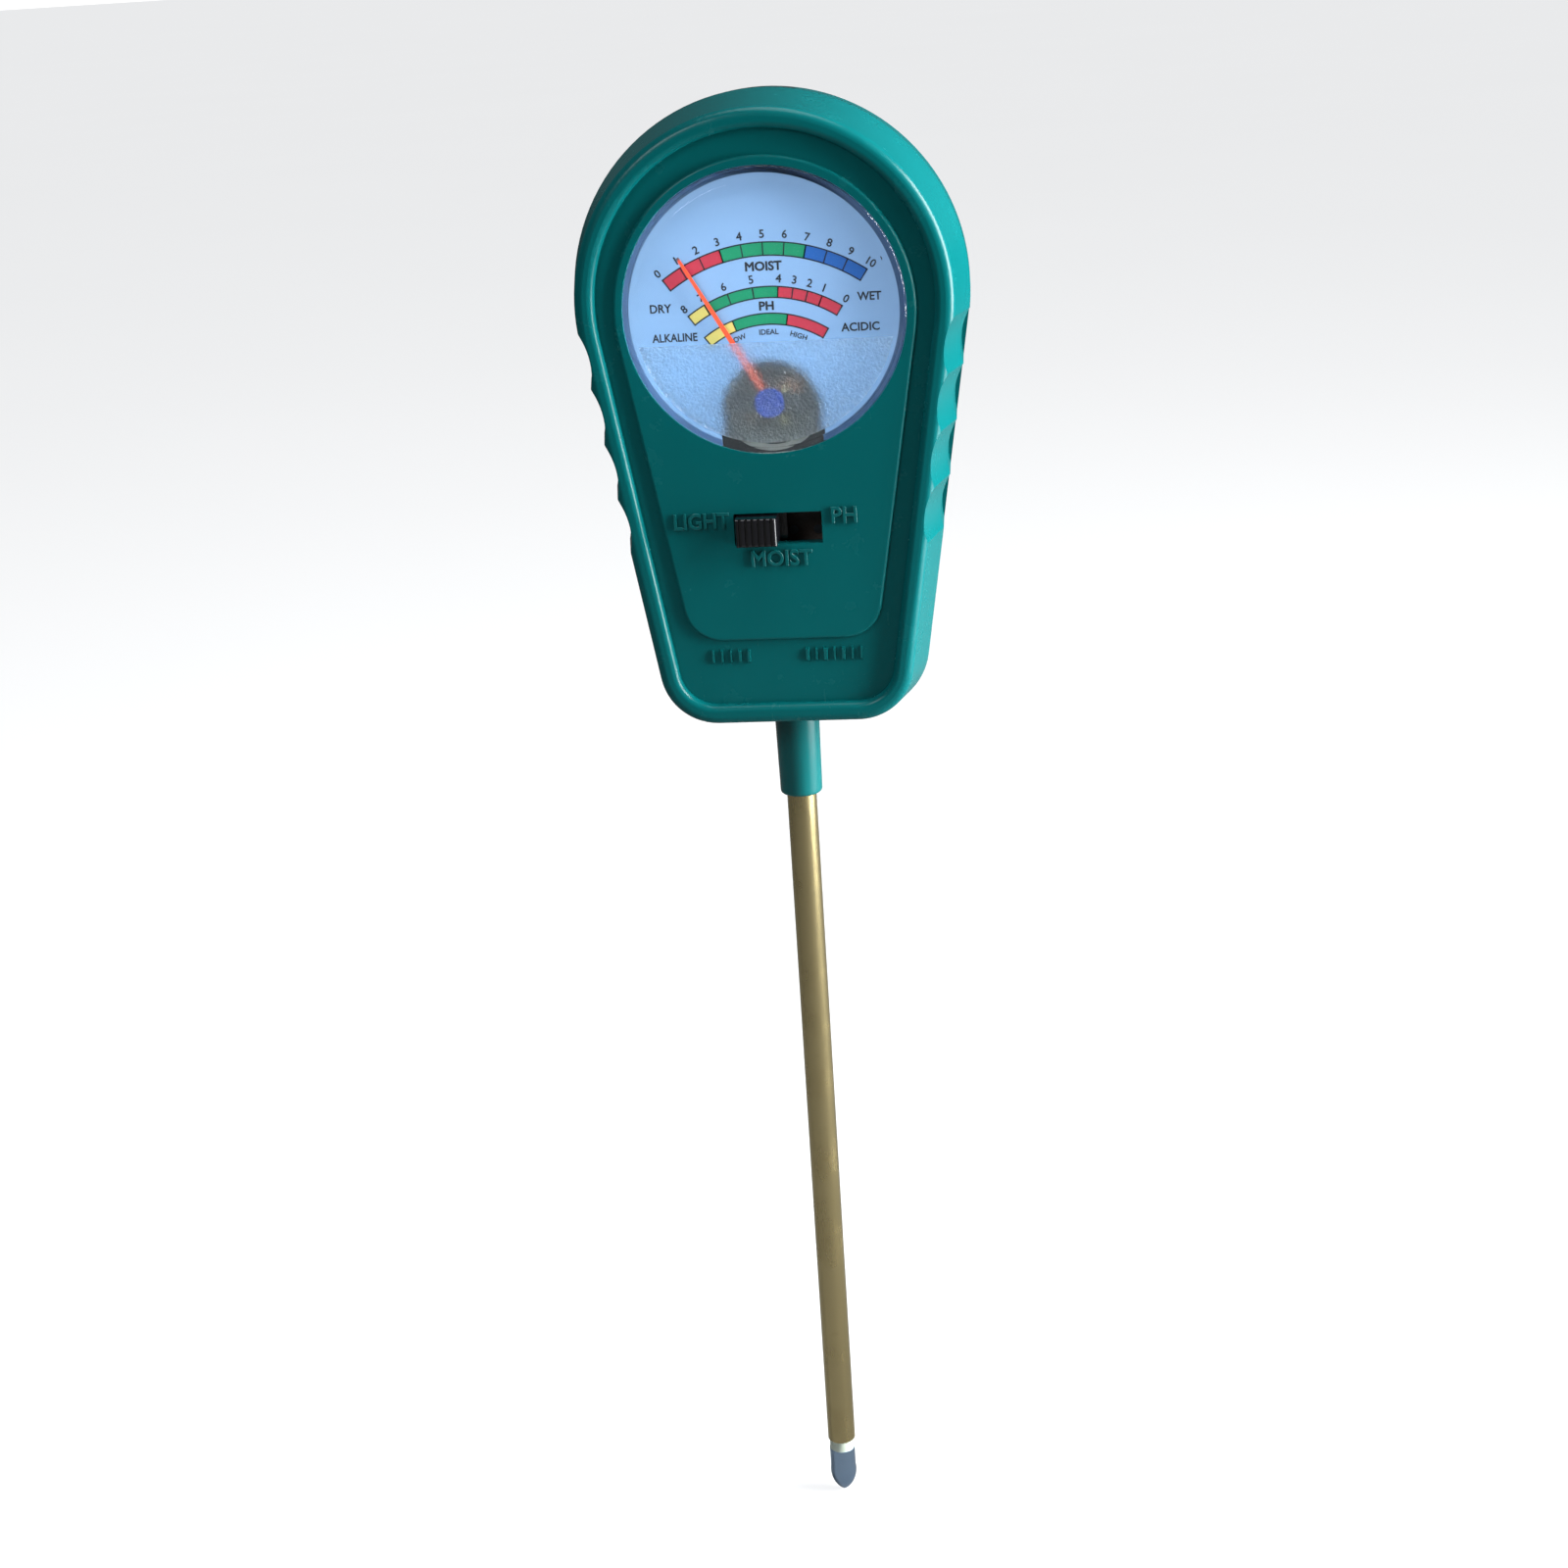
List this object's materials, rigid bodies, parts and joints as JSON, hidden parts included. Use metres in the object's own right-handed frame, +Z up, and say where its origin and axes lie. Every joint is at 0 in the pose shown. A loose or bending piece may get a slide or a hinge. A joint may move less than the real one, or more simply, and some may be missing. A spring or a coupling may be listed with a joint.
{
  "type": "soil moisture meter",
  "caption": "Probe soil meter: pear-shaped plastic head with a round dial, a pointer and a slide switch, on a collar and a brass probe tube with a pointed metal tip.",
  "frame": {"origin": "on the probe's axis at the collar's mouth, where the bare tube begins", "axes": "+Z up the probe towards the head, +X to the reader's right, +Y from the dial to the back"},
  "size_m": [0.0704, 0.0304, 0.2842],
  "materials": {
    "case_green": "semi-gloss moulded dark teal green",
    "clear_lens": "clear moulded plastic",
    "window_smoke": "smoked clear plastic",
    "dial_white": "white printed plate",
    "carrier_black": "moulded black",
    "steel": "plated steel",
    "soft_iron": "turned soft iron",
    "magnet_grey": "ground magnet alloy",
    "aluminium": "formed aluminium",
    "copper_wire": "enamelled copper",
    "pointer_red": "fluorescent orange-red paint",
    "bearing_blue": "blue anodised",
    "brass": "drawn brass",
    "spring_bronze": "phosphor bronze strip",
    "knob_black": "moulded black",
    "board_tan": "paper phenolic",
    "phenolic_brown": "brown phenolic",
    "resistor_body": "lacquered",
    "cell_dark": "coated silicon",
    "tip_metal": "turned bright metal",
    "insulator_grey": "moulded pale grey",
    "sleeve_white": "extruded tube",
    "fibre_pad": "vulcanised fibre",
    "lead_red": "soft insulation",
    "lead_black": "soft insulation",
    "lead_yellow": "soft insulation",
    "lead_white": "soft insulation"
  },
  "bodies": {
    "case": {"front_shell": "case_green", "rear_shell": "case_green", "case_screws": "steel", "light_window": "window_smoke", "light_cell": "cell_dark", "lens": "clear_lens", "dial_plate": "dial_white", "movement_carrier": "carrier_black", "carrier_screws": "steel", "meter_terminals": "brass", "yoke_ring": "soft_iron", "magnet_core": "magnet_grey", "core_holder": "carrier_black", "front_bridge": "steel", "bridge_pads": "fibre_pad", "rear_bridge": "steel", "front_bearing": "bearing_blue", "rear_bearing": "brass", "zero_adjuster": "brass", "front_hairspring": "spring_bronze", "rear_hairspring": "spring_bronze", "switch_can": "steel", "switch_base": "phenolic_brown", "switch_terminals": "brass", "circuit_board": "board_tan", "board_screws": "steel", "resistors": "resistor_body", "probe_collar": "case_green", "probe_tube": "brass", "core_sleeve": "sleeve_white", "core_rod": "copper_wire", "insulator_ring": "insulator_grey", "probe_tip": "tip_metal", "tube_tag": "brass", "rod_tag": "brass", "tube_lead": "lead_red", "rod_lead": "lead_black", "meter_lead_left": "lead_red", "meter_lead_right": "lead_black", "cell_lead_left": "lead_yellow", "cell_lead_right": "lead_white"},
    "slider": {"switch_knob": "knob_black", "switch_wiper": "spring_bronze"},
    "needle": {"coil_former": "aluminium", "coil_winding": "copper_wire", "coil_pivots": "steel", "pointer_hub": "aluminium", "balance_weights": "brass", "pointer": "pointer_red"}
  },
  "joints": [
    {"name": "switch_slide", "type": "slide", "parent": "case", "child": "slider", "axis": [1, 0, 0], "range_m": [0, 0.0072]},
    {"name": "pointer_swing", "type": "hinge", "parent": "case", "child": "needle", "pos_m": [0, 0, 0.0762], "axis": [0, 1, 0], "range_deg": [-13, 73], "stiffness_Nm_per_rad": 0.0001}
  ]
}
